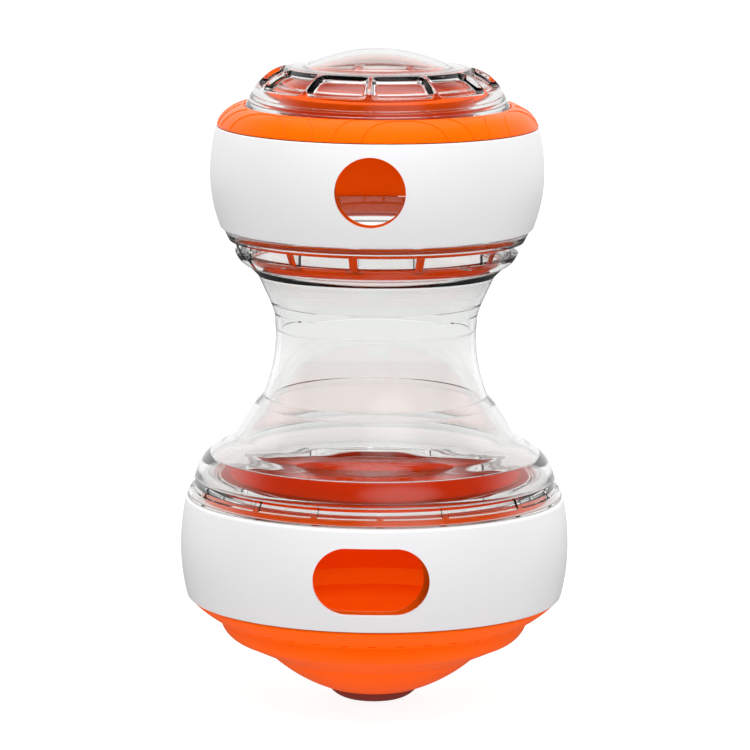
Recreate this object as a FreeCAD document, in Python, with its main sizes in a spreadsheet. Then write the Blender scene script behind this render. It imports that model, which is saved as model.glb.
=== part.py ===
import FreeCAD, Part
import Sketcher
import math
import os

# An hourglass treat dispenser that stands on a small foot: two orange drums, each inside a white
# band that turns to open or close an outlet, joined by a clear neck and closed by a clear lid.
# The front, with both outlets, faces -Y. Lengths are millimetres and angles are degrees.

SIZES = {
    # Gaps: running between pieces that move, fitted between pieces that are seated in each other
    "clearance": 0.3,
    "fit_gap": 0.2,
    "clear_wall": 2.2,
    "drum_wall": 2.2,
    # Foot pad
    "foot_flat_radius": 10.5,
    "foot_radius": 17.5,
    "foot_height": 4.45,
    "foot_bulge": 0.8,
    "foot_plug_radius": 9.0,
    "foot_plug_height": 2.3,
    # Base bowl, from the nose up to the top of its drum
    "bowl_wall": 2.85,
    "nose_radius": 40.4,
    "nose_height": 13.35,
    "nose_bulge": 1.35,
    "slope_width": 12.4,
    "slope_height": 5.6,
    "bowl_side_width": 6.9,
    "bowl_side_height": 8.1,
    "bowl_bulge": 1.45,
    "lower_shoulder_reach": 4.4,
    "lower_shoulder_height": 7.5,
    "lower_shoulder_bulge": 0.45,
    "lower_shoulder_edge": 0.8,
    "lower_drum_radius": 66.0,
    "lower_collar_step": 0.6,
    "lower_collar_height": 2.5,
    "lower_drum_turn": -3.0,
    # Ballast, its cover and the cover's screws
    "ledge_width": 3.2,
    "ledge_lift": 2.4,
    "boss_circle": 13.0,
    "boss_radius": 3.4,
    "boss_hole_depth": 10.0,
    "screw_count": 3,
    "screw_radius": 1.35,
    "screw_length": 9.5,
    "screw_head_radius": 2.8,
    "screw_head_height": 1.45,
    "ballast_side_gap": 4.4,
    "ballast_edge": 2.0,
    "ballast_gap": 1.0,
    "ballast_hole_gap": 0.6,
    "cover_thickness": 1.8,
    "cover_rib_radius": 26.0,
    "cover_rib_width": 2.0,
    "cover_chamfer": 0.6,
    # Lower band and its stadium outlet
    "band_wall": 2.4,
    "band_lip": 2.3,
    "lower_band_height": 39.8,
    "lower_band_reach": 9.05,
    "lower_band_crown": 20.4,
    "lower_band_foot_reach": 6.8,
    "lower_band_top_reach": 7.3,
    "lower_foot_corner": 2.0,
    "lower_top_corner": 1.35,
    "band_corner_bulge": 0.28,
    "slot_width": 44.0,
    "slot_height": 25.8,
    "slot_middle": 19.8,
    "lower_band_turn": -0.9,
    # Neck: flange over the lower drum, shoulder, cone, ridge, waist and rim
    "skirt_reach": 6.6,
    "skirt_slant": 3.3,
    "skirt_height": 7.8,
    "flange_shoulder_width": 8.9,
    "flange_shoulder_height": 11.6,
    "skirt_crown": 0.75,
    "flange_bend_inset": 4.6,
    "flange_bend_height": 8.5,
    "flange_flare_width": 7.2,
    "cone_foot_height": 5.3,
    "cone_foot_bulge": 0.6,
    "cone_width": 6.9,
    "cone_height": 11.1,
    "ridge_step_width": 2.9,
    "ridge_step_height": 3.2,
    "waist_radius": 38.7,
    "waist_height": 22.8,
    "rim_foot_width": 0.5,
    "rim_foot_height": 9.2,
    "rim_width": 2.0,
    "rim_height": 4.2,
    "locating_ring_drop": 3.4,
    "locating_ring_gap": 0.4,
    "seal_thickness": 1.1,
    "pocket_depth": 1.1,
    "pocket_height": 3.8,
    "pocket_lift": 3.0,
    "pocket_rib": 2.6,
    "wide_pocket_pitch": 28.8,
    "neck_pocket_turn": 36.5,
    # Upper funnel: spigot in the neck, cone and cored flange under the upper drum
    "spigot_length": 10.1,
    "spigot_wall": 1.0,
    "funnel_cone_width": 5.0,
    "funnel_cone_height": 10.8,
    "flange_underside_width": 4.3,
    "flange_underside_height": 3.6,
    "flange_slant": 5.3,
    "flange_corner_height": 3.6,
    "flange_corner_bulge": 0.5,
    "flange_reach": 4.9,
    "flange_top_height": 10.6,
    "flange_rim_width": 2.8,
    "flange_groove_depth": 2.4,
    "flange_collar_height": 6.0,
    "window_lift": 2.0,
    "window_height": 4.2,
    "window_floor": 2.2,
    "window_rib": 3.4,
    "wide_window_pitch": 34.0,
    "window_turn": -9.0,
    # Upper drum with its round outlet, shoulder and filling collar
    "upper_drum_radius": 54.1,
    "shoulder_reach": 7.7,
    "shoulder_height": 7.7,
    "shoulder_bulge": 1.75,
    "shoulder_core_width": 2.6,
    "shoulder_core_height": 2.2,
    "shoulder_plate": 2.2,
    "lid_seat_depth": 0.9,
    "fill_collar_inset": 9.6,
    "fill_collar_height": 4.3,
    # Upper band and its round outlet
    "upper_band_height": 39.3,
    "upper_band_reach": 10.1,
    "upper_band_crown": 21.4,
    "upper_band_foot_reach": 6.5,
    "upper_band_top_reach": 7.9,
    "upper_foot_corner": 1.5,
    "upper_top_corner": 0.6,
    "outlet_radius": 13.4,
    "outlet_middle": 21.1,
    "upper_outlet_turn": -2.4,
    # Lid: skirt, grip ring with pockets, and dome
    "lid_skirt_radius": 51.1,
    "lid_skirt_slant": 3.0,
    "lid_grip_height": 6.0,
    "lid_ring_width": 14.1,
    "lid_ring_height": 9.3,
    "lid_ring_bulge": 2.1,
    "dome_border": 6.4,
    "dome_base_rise": 0.5,
    "dome_rise": 6.4,
    "lid_seal_width": 2.8,
    "lid_recess_height": 1.5,
    "lid_socket_height": 7.2,
    "grip_count": 11,
    "grip_slope": 33.4,
    "grip_inset": 10.4,
    "grip_lift": 10.9,
    "grip_length": 10.4,
    "grip_depth": 0.3,
    "grip_rib": 4.0,
    "grip_corner": 4.4,
    "grip_draft": 35.0,
    "lid_turn": -20.5,
}

NARROW_POCKETS = 3
NECK_QUADRANTS = 4
FUNNEL_THIRDS = 3
CUT_REACH = 20.0
FULL_TURN = 360.0
RIGHT_ANGLE = 90.0

doc = FreeCAD.newDocument("TreatDispenser")


class Size:
    """A number together with the spreadsheet formula that gives it."""

    def __init__(self, value, formula):
        self.value = float(value)
        self.formula = formula

    def joined(self, sign, other, value):
        other = as_size(other)
        return Size(value, "(%s %s %s)" % (self.formula, sign, other.formula))

    def __add__(self, other):
        return self.joined("+", other, self.value + as_size(other).value)

    def __sub__(self, other):
        return self.joined("-", other, self.value - as_size(other).value)

    def __mul__(self, other):
        return self.joined("*", other, self.value * as_size(other).value)

    def __truediv__(self, other):
        return self.joined("/", other, self.value / as_size(other).value)

    def __rsub__(self, other):
        return as_size(other) - self

    def __rtruediv__(self, other):
        return as_size(other) / self

    def __neg__(self):
        return self * -1

    __radd__ = __add__
    __rmul__ = __mul__


def as_size(number):
    if isinstance(number, Size):
        return number
    return Size(number, "(%r)" % float(number))


def sine(angle):
    return Size(math.sin(math.radians(angle.value)), "sin(%s * 1deg)" % angle.formula)


def cosine(angle):
    return Size(math.cos(math.radians(angle.value)), "cos(%s * 1deg)" % angle.formula)


def tangent(angle):
    return sine(angle) / cosine(angle)


# The driving sizes, and the heights and radii worked out from them
sheet = doc.addObject("Spreadsheet::Sheet", "Sizes")
for row, (name, number) in enumerate(SIZES.items(), start=1):
    sheet.set("A%d" % row, name)
    sheet.set("B%d" % row, repr(number))
    sheet.setAlias("B%d" % row, name)
worked_out = doc.addObject("Spreadsheet::Sheet", "Derived")
doc.recompute()
S = {name: Size(number, "Sizes." + name) for name, number in SIZES.items()}
derived_rows = []


def derived(name, size):
    """Keep a worked-out size in its own cell, so that outlines can name it."""
    row = len(derived_rows) + 1
    derived_rows.append(name)
    worked_out.set("A%d" % row, name)
    worked_out.set("B%d" % row, "=" + size.formula)
    worked_out.setAlias("B%d" % row, name)
    return Size(size.value, "Derived." + name)


# Heights above the foot's flat face, each built on the one below it
foot_top = S["foot_height"]
nose_top = derived("nose_top", foot_top + S["nose_height"])
slope_top = derived("slope_top", nose_top + S["slope_height"])
bowl_top = derived("bowl_top", slope_top + S["bowl_side_height"])
lower_edge = derived("lower_edge", bowl_top + S["lower_shoulder_height"])
lower_seat = derived("lower_seat", lower_edge + S["lower_shoulder_edge"])
lower_band_foot = derived("lower_band_foot", lower_seat + S["clearance"])
lower_band_top = derived("lower_band_top", lower_band_foot + S["lower_band_height"])
skirt_foot = derived("skirt_foot", lower_band_top + S["clearance"])
lower_drum_top = derived("lower_drum_top", skirt_foot + S["lower_collar_height"] - S["clearance"])
lower_seal_foot = derived("lower_seal_foot", lower_drum_top + S["clearance"])
lower_seal_top = derived("lower_seal_top", lower_seal_foot + S["seal_thickness"])
neck_land = derived("neck_land", lower_seal_top + S["clearance"])
skirt_top = derived("skirt_top", skirt_foot + S["skirt_height"])
flange_shoulder_top = derived("flange_shoulder_top", skirt_top + S["flange_shoulder_height"])
flange_bend_top = derived("flange_bend_top", skirt_top + S["flange_bend_height"])
cone_foot = derived("cone_foot", flange_shoulder_top + S["cone_foot_height"])
ridge = derived("ridge", cone_foot + S["cone_height"])
ridge_step = derived("ridge_step", ridge + S["ridge_step_height"])
waist = derived("waist", ridge_step + S["waist_height"])
rim_foot = derived("rim_foot", waist + S["rim_foot_height"])
neck_top = derived("neck_top", rim_foot + S["rim_height"])
funnel_cone_top = derived("funnel_cone_top", neck_top + S["funnel_cone_height"])
underside_top = derived("underside_top", funnel_cone_top + S["flange_underside_height"])
flange_corner_top = derived("flange_corner_top", underside_top + S["flange_corner_height"])
flange_top = derived("flange_top", flange_corner_top + S["flange_top_height"])
groove_floor = derived("groove_floor", flange_top - S["flange_groove_depth"])
upper_seal_foot = derived("upper_seal_foot", groove_floor + S["clearance"])
upper_seal_top = derived("upper_seal_top", upper_seal_foot + S["seal_thickness"])
upper_drum_foot = derived("upper_drum_foot", upper_seal_top + S["clearance"])
upper_band_foot = derived("upper_band_foot", flange_top + S["clearance"])
upper_band_top = derived("upper_band_top", upper_band_foot + S["upper_band_height"])
shoulder_foot = derived("shoulder_foot", upper_band_top + S["clearance"])
shoulder_top = derived("shoulder_top", shoulder_foot + S["shoulder_height"])
lid_seat = derived("lid_seat", shoulder_top - S["lid_seat_depth"])
fill_collar_top = derived("fill_collar_top", lid_seat + S["fill_collar_height"])
lid_foot = derived("lid_foot", lid_seat + S["clearance"])
lid_grip_top = derived("lid_grip_top", lid_foot + S["lid_grip_height"])
lid_ring_top = derived("lid_ring_top", lid_grip_top + S["lid_ring_height"])
dome_foot = derived("dome_foot", lid_ring_top + S["dome_base_rise"])
dome_top = derived("dome_top", dome_foot + S["dome_rise"])

# Radii, each built on that of the piece it meets
slope_radius = derived("slope_radius", S["nose_radius"] + S["slope_width"])
bowl_radius = derived("bowl_radius", slope_radius + S["bowl_side_width"])
ledge_radius = derived("ledge_radius", S["nose_radius"] + S["ledge_width"] / 2)
ledge_bore = derived("ledge_bore", ledge_radius - S["ledge_width"])
cover_radius = derived("cover_radius", ledge_radius - S["fit_gap"])
ballast_radius = derived("ballast_radius", ledge_bore - S["ballast_side_gap"])
lower_shoulder = derived("lower_shoulder", S["lower_drum_radius"] + S["lower_shoulder_reach"])
lower_drum_bore = derived("lower_drum_bore", S["lower_drum_radius"] - S["drum_wall"])
lower_collar = derived("lower_collar", S["lower_drum_radius"] - S["lower_collar_step"])
lower_lip = derived("lower_lip", S["lower_drum_radius"] + S["clearance"])
skirt_radius = derived("skirt_radius", S["lower_drum_radius"] + S["skirt_reach"])
skirt_top_radius = derived("skirt_top_radius", skirt_radius - S["skirt_slant"])
flange_bend = derived("flange_bend", skirt_top_radius - S["flange_bend_inset"])
flange_shoulder = derived("flange_shoulder", skirt_top_radius - S["flange_shoulder_width"])
cone_foot_radius = derived("cone_foot_radius", flange_shoulder - S["flange_flare_width"])
ridge_radius = derived("ridge_radius", cone_foot_radius - S["cone_width"])
ridge_step_radius = derived("ridge_step_radius", ridge_radius - S["ridge_step_width"])
rim_foot_radius = derived("rim_foot_radius", S["waist_radius"] + S["rim_foot_width"])
rim_radius = derived("rim_radius", S["waist_radius"] + S["rim_width"])
spigot_bore = derived("spigot_bore", S["waist_radius"] - S["clear_wall"])
spigot_radius = derived("spigot_radius", spigot_bore + S["spigot_wall"])
spigot_flare_radius = derived("spigot_flare_radius", spigot_radius + S["rim_foot_width"])
spigot_top_radius = derived("spigot_top_radius", spigot_radius + S["rim_width"])
funnel_cone_radius = derived("funnel_cone_radius", rim_radius + S["funnel_cone_width"])
upper_drum_bore = derived("upper_drum_bore", S["upper_drum_radius"] - S["drum_wall"])
upper_lip = derived("upper_lip", S["upper_drum_radius"] + S["clearance"])
flange_top_radius = derived("flange_top_radius", S["upper_drum_radius"] + S["flange_reach"])
flange_corner_radius = derived("flange_corner_radius", flange_top_radius - S["flange_slant"])
underside_radius = derived("underside_radius", flange_corner_radius - S["flange_underside_width"])
flange_collar = derived("flange_collar", upper_drum_bore - S["clearance"])
flange_bore = derived("flange_bore", flange_collar - S["clear_wall"])
shoulder_radius = derived("shoulder_radius", S["upper_drum_radius"] + S["shoulder_reach"])
lid_seat_radius = derived("lid_seat_radius", S["lid_skirt_radius"] + S["clearance"])
fill_collar = derived("fill_collar", S["lid_skirt_radius"] - S["fill_collar_inset"])
fill_bore = derived("fill_bore", fill_collar - S["drum_wall"])
lid_socket = derived("lid_socket", fill_collar + S["clearance"])
lid_grip_radius = derived("lid_grip_radius", S["lid_skirt_radius"] - S["lid_skirt_slant"])
lid_ring_radius = derived("lid_ring_radius", lid_grip_radius - S["lid_ring_width"])
dome_radius = derived("dome_radius", lid_ring_radius - S["dome_border"])
bowl_floor = derived("bowl_floor", foot_top + S["bowl_wall"])
cover_seat = derived("cover_seat", nose_top + S["ledge_lift"])


def origin_part(body, role):
    for feature in body.Origin.OriginFeatures:
        if feature.Role == role:
            return feature
    raise ValueError("no origin feature called " + role)


def new_body(label):
    body = doc.addObject("PartDesign::Body", label)
    body.Label = label
    return body


def turn_body(body, turn):
    """Turn a finished piece about the object's axis, anticlockwise seen from above."""
    about_axis = FreeCAD.Rotation(FreeCAD.Vector(0, 0, 1), turn.value)
    body.Placement = FreeCAD.Placement(FreeCAD.Vector(0, 0, 0), about_axis)
    body.setExpression("Placement.Rotation.Angle", turn.formula)


def new_sketch(body, name, plane="XZ_Plane", lift=None, turn=None):
    """A sketch on an origin plane, raised along its normal, or turned about the object's axis."""
    sketch = body.newObject("Sketcher::SketchObject", body.Label + "_" + name)
    sketch.AttachmentSupport = (origin_part(body, plane), [""])
    sketch.MapMode = "FlatFace"
    if lift is not None:
        sketch.AttachmentOffset = FreeCAD.Placement(FreeCAD.Vector(0, 0, lift.value), FreeCAD.Rotation())
        sketch.setExpression("AttachmentOffset.Base.z", lift.formula)
    if turn is not None:
        about_axis = FreeCAD.Rotation(FreeCAD.Vector(0, 1, 0), turn.value)
        sketch.AttachmentOffset = FreeCAD.Placement(FreeCAD.Vector(0, 0, 0), about_axis)
        sketch.setExpression("AttachmentOffset.Rotation.Angle", turn.formula)
    return sketch


def bind(sketch, kind, where, size):
    """Add one dimension to a sketch and tie it to its formula."""
    index = sketch.addConstraint(Sketcher.Constraint(kind, *where, size.value))
    sketch.setExpression("Constraints[%d]" % index, size.formula)


def pin_point(sketch, edge, end, across, up):
    """Fix one end of an edge at its distance across and up from the sketch's origin."""
    if as_size(across).value == 0:
        sketch.addConstraint(Sketcher.Constraint("PointOnObject", edge, end, -2))
    else:
        bind(sketch, "DistanceX", (-1, 1, edge, end), as_size(across))
    if as_size(up).value == 0:
        sketch.addConstraint(Sketcher.Constraint("PointOnObject", edge, end, -1))
    else:
        bind(sketch, "DistanceY", (-1, 1, edge, end), as_size(up))


def bowed(start, stop, rise):
    """Radius of the arc that rises by this much over the straight line between two corners."""
    across = as_size(stop[0]) - start[0]
    up = as_size(stop[1]) - start[1]
    return (across * across + up * up) / (rise * 8) + rise / 2


def crowned(start, stop):
    """Radius of the arc between two corners that stands upright at the wider one."""
    across = as_size(stop[0]) - start[0]
    up = as_size(stop[1]) - start[1]
    width = across if across.value > 0 else -across
    return (across * across + up * up) / (width * 2)


def domed(start, stop):
    """Radius of the arc between two corners that lies level at the upper one, on the axis."""
    across = as_size(stop[0]) - start[0]
    up = as_size(stop[1]) - start[1]
    rise = up if up.value > 0 else -up
    return (across * across + up * up) / (rise * 2)


def arc_middle(start, stop, radius, right):
    """The point halfway along an arc that bows to one side of the way from start to stop."""
    across = stop.x - start.x
    up = stop.y - start.y
    length = math.hypot(across, up)
    rise = radius - math.sqrt(radius * radius - length * length / 4)
    side = rise if right else -rise
    middle = (start + stop) / 2
    return middle + FreeCAD.Vector(up, -across, 0) * (side / length)


def draw_outline(sketch, corners):
    """Draw a closed outline. A corner is (across, up), or (across, up, radius, side) where an arc
    that bows to the right or left of the way it runs leads to the next corner."""
    ends = []
    for index, corner in enumerate(corners):
        following = corners[(index + 1) % len(corners)]
        start = FreeCAD.Vector(as_size(corner[0]).value, as_size(corner[1]).value, 0)
        stop = FreeCAD.Vector(as_size(following[0]).value, as_size(following[1]).value, 0)
        if len(corner) == 2:
            edge = sketch.addGeometry(Part.LineSegment(start, stop), False)
            ends.append((edge, 1, 2))
            continue
        right = corner[3] == "right"
        middle = arc_middle(start, stop, corner[2].value, right)
        if right:
            edge = sketch.addGeometry(Part.Arc(start, middle, stop), False)
            ends.append((edge, 1, 2))
        else:
            edge = sketch.addGeometry(Part.Arc(stop, middle, start), False)
            ends.append((edge, 2, 1))
    for index, corner in enumerate(corners):
        edge, first, last = ends[index]
        following_edge, following_first, unused = ends[(index + 1) % len(corners)]
        sketch.addConstraint(Sketcher.Constraint("Coincident", edge, last, following_edge, following_first))
        pin_point(sketch, edge, first, corner[0], corner[1])
        if len(corner) == 4:
            bind(sketch, "Radius", (edge,), corner[2])


def revolve(body, corners, name="outline"):
    """Turn an outline of radius and height once round the object's axis."""
    sketch = new_sketch(body, name)
    draw_outline(sketch, corners)
    solid = body.newObject("PartDesign::Revolution", body.Label + "_turned")
    solid.Profile = sketch
    solid.ReferenceAxis = (sketch, ["V_Axis"])
    solid.Angle = FULL_TURN
    sketch.Visibility = False
    body.Tip = solid
    return solid


def cut_through_front(body, sketch, name):
    """Cut a sketch on the XZ plane through the front wall only."""
    doc.recompute()
    before = body.Shape.Volume
    pocket = body.newObject("PartDesign::Pocket", body.Label + "_" + name)
    pocket.Profile = sketch
    pocket.Type = "ThroughAll"
    pocket.Reversed = True
    body.Tip = pocket
    doc.recompute()
    if not body.Shape.Volume < before:
        raise ValueError(name + " cuts nothing")
    return pocket


def draw_stadium(sketch, width, height, middle):
    """A slot with round ends, centred on the object's axis."""
    radius = height / 2
    reach = width / 2 - radius
    left = FreeCAD.Vector(-reach.value, middle.value, 0)
    right = FreeCAD.Vector(reach.value, middle.value, 0)
    rise = FreeCAD.Vector(0, radius.value, 0)
    quarter = math.pi / 2
    upright = FreeCAD.Vector(0, 0, 1)
    right_end = Part.ArcOfCircle(Part.Circle(right, upright, radius.value), -quarter, quarter)
    left_end = Part.ArcOfCircle(Part.Circle(left, upright, radius.value), quarter, 3 * quarter)
    right_arc = sketch.addGeometry(right_end, False)
    top = sketch.addGeometry(Part.LineSegment(right + rise, left + rise), False)
    left_arc = sketch.addGeometry(left_end, False)
    bottom = sketch.addGeometry(Part.LineSegment(left - rise, right - rise), False)
    sketch.addConstraint(Sketcher.Constraint("Tangent", right_arc, 2, top, 1))
    sketch.addConstraint(Sketcher.Constraint("Tangent", top, 2, left_arc, 1))
    sketch.addConstraint(Sketcher.Constraint("Tangent", left_arc, 2, bottom, 1))
    sketch.addConstraint(Sketcher.Constraint("Tangent", bottom, 2, right_arc, 1))
    sketch.addConstraint(Sketcher.Constraint("Horizontal", top))
    sketch.addConstraint(Sketcher.Constraint("Symmetric", left_arc, 3, right_arc, 3, -2))
    bind(sketch, "Radius", (right_arc,), radius)
    bind(sketch, "DistanceX", (-1, 1, right_arc, 3), reach)
    bind(sketch, "DistanceY", (-1, 1, right_arc, 3), middle)


def draw_circle(sketch, across, up, radius):
    centre = FreeCAD.Vector(as_size(across).value, as_size(up).value, 0)
    circle = sketch.addGeometry(Part.Circle(centre, FreeCAD.Vector(0, 0, 1), radius.value), False)
    bind(sketch, "Radius", (circle,), radius)
    pin_point(sketch, circle, 3, across, up)
    return circle


def ring_pocket(body, name, corners, width, turn):
    """Cut a stretch of ring, as many degrees wide as given, centred at a turn from +X."""
    sketch = new_sketch(body, name + "_outline", turn=turn)
    draw_outline(sketch, corners)
    groove = body.newObject("PartDesign::Groove", body.Label + "_" + name)
    groove.Profile = sketch
    groove.ReferenceAxis = (sketch, ["V_Axis"])
    groove.Midplane = True
    groove.Angle = width.value
    groove.setExpression("Angle", width.formula)
    sketch.Visibility = False
    body.Tip = groove
    return groove


def repeat_round(body, features, count, name):
    """Repeat cuts evenly round the object's axis, and check that each copy cuts."""
    doc.recompute()
    pattern = body.newObject("PartDesign::PolarPattern", body.Label + "_" + name)
    pattern.Originals = features
    pattern.Axis = (origin_part(body, "Z_Axis"), [""])
    pattern.Angle = FULL_TURN
    pattern.Occurrences = int(as_size(count).value)
    if isinstance(count, Size):
        pattern.setExpression("Occurrences", count.formula)
    body.Tip = pattern
    return pattern


# Foot pad: a soft button pressed into the bowl's nose
def make_foot_pad():
    body = new_body("foot_pad")
    flat = (S["foot_flat_radius"], 0)
    edge = (S["foot_radius"], foot_top)
    plug_top = foot_top + S["foot_plug_height"]
    revolve(body, [
        (0, 0),
        (*flat, bowed(flat, edge, S["foot_bulge"]), "right"),
        edge,
        (S["foot_plug_radius"], foot_top),
        (S["foot_plug_radius"], plug_top),
        (0, plug_top),
    ])
    return body


# Base bowl: stepped nose, bowl, shoulder under the lower band, and the drum inside that band
def make_base_bowl():
    body = new_body("base_bowl")
    wall = S["bowl_wall"]
    drum_wall = S["drum_wall"]
    plug_hole = S["foot_plug_radius"] + S["fit_gap"]
    nose_foot = (S["foot_radius"] + S["fit_gap"], foot_top)
    nose = (S["nose_radius"], nose_top)
    slope = (slope_radius, slope_top)
    bowl = (bowl_radius, bowl_top)
    shoulder = (lower_shoulder, lower_edge)
    inner_bowl = (bowl_radius - wall, bowl_top + wall / 2)
    inner_slope = (slope_radius - wall / 3, slope_top + wall)
    inner_nose = (ledge_bore, nose_top + wall / 2)
    inner_foot = (S["foot_radius"] - wall / 4, bowl_floor)
    corner = (lower_drum_bore, lower_edge - drum_wall / 2)
    revolve(body, [
        (plug_hole, foot_top),
        (*nose_foot, bowed(nose_foot, nose, S["nose_bulge"]), "right"),
        nose,
        (*slope, bowed(slope, bowl, S["bowl_bulge"]), "right"),
        (*bowl, bowed(bowl, shoulder, S["lower_shoulder_bulge"]), "right"),
        shoulder,
        (lower_shoulder, lower_seat),
        (S["lower_drum_radius"], lower_seat),
        (S["lower_drum_radius"], skirt_foot),
        (lower_collar, skirt_foot),
        (lower_collar, lower_drum_top),
        (lower_drum_bore, lower_drum_top),
        corner,
        (*inner_bowl, bowed(inner_bowl, inner_slope, S["bowl_bulge"]), "left"),
        inner_slope,
        (ledge_radius, cover_seat + S["cover_chamfer"]),
        (ledge_radius, cover_seat),
        (ledge_bore, cover_seat),
        (*inner_nose, bowed(inner_nose, inner_foot, S["nose_bulge"]), "left"),
        inner_foot,
        (plug_hole, bowl_floor),
    ])
    posts = new_sketch(body, "post_circle", "XY_Plane", lift=bowl_floor - S["fit_gap"])
    draw_circle(posts, S["boss_circle"], 0, S["boss_radius"])
    post = body.newObject("PartDesign::Pad", "base_bowl_post")
    post.Profile = posts
    post_height = cover_seat - bowl_floor + S["fit_gap"]
    post.Length = post_height.value
    post.setExpression("Length", post_height.formula)
    body.Tip = post
    holes = new_sketch(body, "post_hole_circle", "XY_Plane", lift=cover_seat)
    draw_circle(holes, S["boss_circle"], 0, S["screw_radius"] + S["fit_gap"] / 2)
    hole = body.newObject("PartDesign::Pocket", "base_bowl_post_hole")
    hole.Profile = holes
    hole.Length = S["boss_hole_depth"].value
    hole.setExpression("Length", S["boss_hole_depth"].formula)
    body.Tip = hole
    repeat_round(body, [post, hole], S["screw_count"], "posts")
    slot = new_sketch(body, "slot_outline")
    draw_stadium(slot, S["slot_width"], S["slot_height"], lower_band_foot + S["slot_middle"])
    cut_through_front(body, slot, "slot")
    turn_body(body, S["lower_drum_turn"])
    return body


# Ballast: a steel slug shaped to the nose, threaded over the three posts
def make_ballast():
    body = new_body("ballast_weight")
    top = cover_seat - S["ballast_gap"]
    foot_radius = S["foot_radius"] - S["bowl_wall"] / 3
    revolve(body, [
        (0, bowl_floor),
        (foot_radius, bowl_floor),
        (ballast_radius, top - S["ballast_edge"]),
        (ballast_radius, top),
        (0, top),
    ])
    holes = new_sketch(body, "hole_circle", "XY_Plane", lift=top)
    draw_circle(holes, S["boss_circle"], 0, S["boss_radius"] + S["ballast_hole_gap"])
    hole = body.newObject("PartDesign::Pocket", "ballast_weight_hole")
    hole.Profile = holes
    hole.Type = "ThroughAll"
    body.Tip = hole
    repeat_round(body, [hole], S["screw_count"], "holes")
    turn_body(body, S["lower_drum_turn"])
    return body


# Ballast cover: the floor of the lower chamber, with a rib that holds the slug down
def make_ballast_cover():
    body = new_body("ballast_cover")
    top = cover_seat + S["cover_thickness"]
    rib_foot = cover_seat - S["ballast_gap"]
    rib_bore = S["cover_rib_radius"] - S["cover_rib_width"]
    revolve(body, [
        (0, cover_seat),
        (rib_bore, cover_seat),
        (rib_bore, rib_foot),
        (S["cover_rib_radius"], rib_foot),
        (S["cover_rib_radius"], cover_seat),
        (cover_radius, cover_seat),
        (cover_radius, top - S["cover_chamfer"]),
        (cover_radius - S["cover_chamfer"], top),
        (0, top),
    ])
    holes = new_sketch(body, "hole_circle", "XY_Plane", lift=top)
    draw_circle(holes, S["boss_circle"], 0, S["screw_radius"] + S["fit_gap"])
    hole = body.newObject("PartDesign::Pocket", "ballast_cover_hole")
    hole.Profile = holes
    hole.Type = "ThroughAll"
    body.Tip = hole
    sinks = new_sketch(body, "sink_circle", "XY_Plane", lift=top)
    draw_circle(sinks, S["boss_circle"], 0, S["screw_head_radius"] + S["fit_gap"])
    sink = body.newObject("PartDesign::Pocket", "ballast_cover_sink")
    sink.Profile = sinks
    sink.Length = S["screw_head_height"].value
    sink.setExpression("Length", S["screw_head_height"].formula)
    head_slope = (S["screw_head_radius"] - S["screw_radius"]) / S["screw_head_height"]
    sink.TaperAngle = -math.degrees(math.atan(head_slope.value))
    sink.setExpression("TaperAngle", "-atan(%s)" % head_slope.formula)
    body.Tip = sink
    repeat_round(body, [hole, sink], S["screw_count"], "holes")
    turn_body(body, S["lower_drum_turn"])
    return body


# Cover screws: countersunk, one in each post
def make_cover_screws():
    top = cover_seat + S["cover_thickness"]
    screws = []
    for number in range(int(SIZES["screw_count"])):
        angle = S["lower_drum_turn"] + FULL_TURN * number / as_size(S["screw_count"])
        across = S["boss_circle"] * cosine(angle)
        along = S["boss_circle"] * sine(angle)
        head = doc.addObject("Part::Cone", "screw_head")
        head.setExpression("Radius1", S["screw_radius"].formula)
        head.setExpression("Radius2", S["screw_head_radius"].formula)
        head.setExpression("Height", S["screw_head_height"].formula)
        shank = doc.addObject("Part::Cylinder", "screw_shank")
        shank.setExpression("Radius", S["screw_radius"].formula)
        shank.setExpression("Height", S["screw_length"].formula)
        head_foot = top - S["screw_head_height"]
        for piece, height in ((head, head_foot), (shank, head_foot - S["screw_length"])):
            piece.setExpression("Placement.Base.x", across.formula)
            piece.setExpression("Placement.Base.y", along.formula)
            piece.setExpression("Placement.Base.z", height.formula)
        screw = doc.addObject("Part::Fuse", "screw")
        screw.Base = head
        screw.Tool = shank
        screws.append(screw)
    group = doc.addObject("Part::Compound", "cover_screws")
    group.Links = screws
    group.Label = "cover_screws"
    return group


# Both bands: barrel-shaped rings whose in-turned lips run on the drum inside them
def band_outline(foot, top, crown, lip, radii, corners):
    foot_radius, crown_radius, top_radius = radii
    foot_corner_size, top_corner_size = corners
    wall = S["band_wall"]
    lip_height = S["band_lip"]
    rise = S["band_corner_bulge"]
    foot_corner = (foot_radius - foot_corner_size, foot)
    foot_edge = (foot_radius, foot + foot_corner_size)
    widest = (crown_radius, crown)
    top_edge = (top_radius, top - top_corner_size)
    top_corner = (top_radius - top_corner_size, top)
    inner_top = (top_radius - wall, top - lip_height)
    inner_widest = (crown_radius - wall, crown)
    inner_foot = (foot_radius - wall, foot + lip_height)
    return [
        (lip, foot),
        (*foot_corner, bowed(foot_corner, foot_edge, foot_corner_size * rise), "right"),
        (*foot_edge, crowned(foot_edge, widest), "right"),
        (*widest, crowned(widest, top_edge), "right"),
        (*top_edge, bowed(top_edge, top_corner, top_corner_size * rise), "right"),
        top_corner,
        (lip, top),
        (lip, top - lip_height),
        (*inner_top, crowned(inner_top, inner_widest), "left"),
        (*inner_widest, crowned(inner_widest, inner_foot), "left"),
        inner_foot,
        (lip, foot + lip_height),
    ]


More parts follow.
